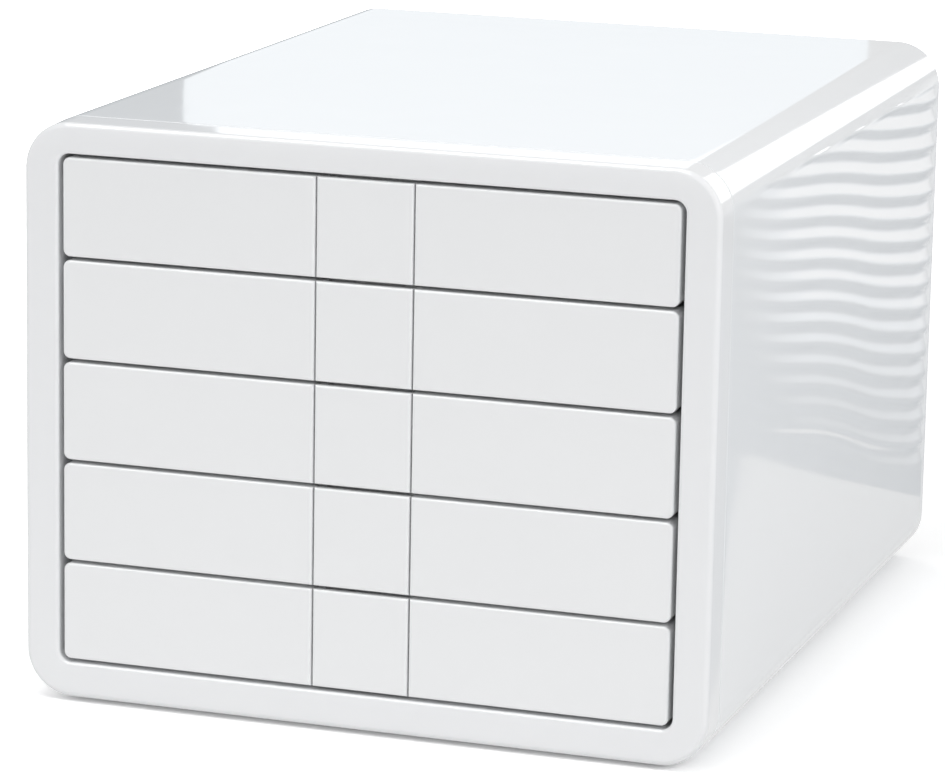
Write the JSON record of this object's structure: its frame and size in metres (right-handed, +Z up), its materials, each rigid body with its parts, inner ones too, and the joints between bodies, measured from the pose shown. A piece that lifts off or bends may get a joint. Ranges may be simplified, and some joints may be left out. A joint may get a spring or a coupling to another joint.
{
  "type": "desk file box with drawers",
  "caption": "White desk file box: a rounded casing with a stack of shallow sliding drawers, each with a rocking grip flap in the middle of its front.",
  "frame": {"origin": "centre of the footprint, on the surface that the feet stand on", "axes": "+X to the right seen from the front, +Y from the drawer fronts to the back, +Z up"},
  "size_m": [0.294, 0.368, 0.243],
  "materials": {
    "casing_plastic": "polished white moulding",
    "frame_plastic": "polished white moulding",
    "front_plastic": "polished white moulding",
    "runner_plastic": "as-moulded white plastic",
    "tray_plastic": "fine satin white moulding",
    "foot_rubber": "soft grey rubber",
    "pin_steel": "ground steel",
    "spring_steel": "tempered spring strip",
    "screw_steel": "zinc-plated steel"
  },
  "bodies": {
    "casing": {"casing_shell": "casing_plastic", "front_frame": "frame_plastic", "rear_panel": "casing_plastic", "left_runner_panel": "runner_plastic", "right_runner_panel": "runner_plastic", "foot_front_left": "foot_rubber", "foot_front_right": "foot_rubber", "foot_rear_left": "foot_rubber", "foot_rear_right": "foot_rubber", "rear_screws": "screw_steel"},
    "drawer_1": {"drawer_1_tray": "tray_plastic", "drawer_1_front": "front_plastic", "drawer_1_flap_pin": "pin_steel", "drawer_1_flap_spring": "spring_steel", "drawer_1_front_screws": "screw_steel"},
    "flap_1": {"drawer_1_grip_flap": "front_plastic"},
    "drawer_2": {"drawer_2_tray": "tray_plastic", "drawer_2_front": "front_plastic", "drawer_2_flap_pin": "pin_steel", "drawer_2_flap_spring": "spring_steel", "drawer_2_front_screws": "screw_steel"},
    "flap_2": {"drawer_2_grip_flap": "front_plastic"},
    "drawer_3": {"drawer_3_tray": "tray_plastic", "drawer_3_front": "front_plastic", "drawer_3_flap_pin": "pin_steel", "drawer_3_flap_spring": "spring_steel", "drawer_3_front_screws": "screw_steel"},
    "flap_3": {"drawer_3_grip_flap": "front_plastic"},
    "drawer_4": {"drawer_4_tray": "tray_plastic", "drawer_4_front": "front_plastic", "drawer_4_flap_pin": "pin_steel", "drawer_4_flap_spring": "spring_steel", "drawer_4_front_screws": "screw_steel"},
    "flap_4": {"drawer_4_grip_flap": "front_plastic"},
    "drawer_5": {"drawer_5_tray": "tray_plastic", "drawer_5_front": "front_plastic", "drawer_5_flap_pin": "pin_steel", "drawer_5_flap_spring": "spring_steel", "drawer_5_front_screws": "screw_steel"},
    "flap_5": {"drawer_5_grip_flap": "front_plastic"}
  },
  "joints": [
    {"name": "drawer_1_slide", "type": "slide", "parent": "casing", "child": "drawer_1", "axis": [0, -1, 0], "range_m": [0, 0.25]},
    {"name": "flap_1_tilt", "type": "hinge", "parent": "drawer_1", "child": "flap_1", "pos_m": [0, -0.18, 0.2143], "axis": [-1, 0, 0], "range_deg": [0, 22], "stiffness_Nm_per_rad": 0.08, "springref_deg": -5.73, "deforming": ["drawer_1_flap_spring"]},
    {"name": "drawer_2_slide", "type": "slide", "parent": "casing", "child": "drawer_2", "axis": [0, -1, 0], "range_m": [0, 0.25]},
    {"name": "flap_2_tilt", "type": "hinge", "parent": "drawer_2", "child": "flap_2", "pos_m": [0, -0.18, 0.172], "axis": [-1, 0, 0], "range_deg": [0, 22], "stiffness_Nm_per_rad": 0.08, "springref_deg": -5.73, "deforming": ["drawer_2_flap_spring"]},
    {"name": "drawer_3_slide", "type": "slide", "parent": "casing", "child": "drawer_3", "axis": [0, -1, 0], "range_m": [0, 0.25]},
    {"name": "flap_3_tilt", "type": "hinge", "parent": "drawer_3", "child": "flap_3", "pos_m": [0, -0.18, 0.1297], "axis": [-1, 0, 0], "range_deg": [0, 22], "stiffness_Nm_per_rad": 0.08, "springref_deg": -5.73, "deforming": ["drawer_3_flap_spring"]},
    {"name": "drawer_4_slide", "type": "slide", "parent": "casing", "child": "drawer_4", "axis": [0, -1, 0], "range_m": [0, 0.25]},
    {"name": "flap_4_tilt", "type": "hinge", "parent": "drawer_4", "child": "flap_4", "pos_m": [0, -0.18, 0.0874], "axis": [-1, 0, 0], "range_deg": [0, 22], "stiffness_Nm_per_rad": 0.08, "springref_deg": -5.73, "deforming": ["drawer_4_flap_spring"]},
    {"name": "drawer_5_slide", "type": "slide", "parent": "casing", "child": "drawer_5", "axis": [0, -1, 0], "range_m": [0, 0.25]},
    {"name": "flap_5_tilt", "type": "hinge", "parent": "drawer_5", "child": "flap_5", "pos_m": [0, -0.18, 0.0451], "axis": [-1, 0, 0], "range_deg": [0, 22], "stiffness_Nm_per_rad": 0.08, "springref_deg": -5.73, "deforming": ["drawer_5_flap_spring"]}
  ]
}
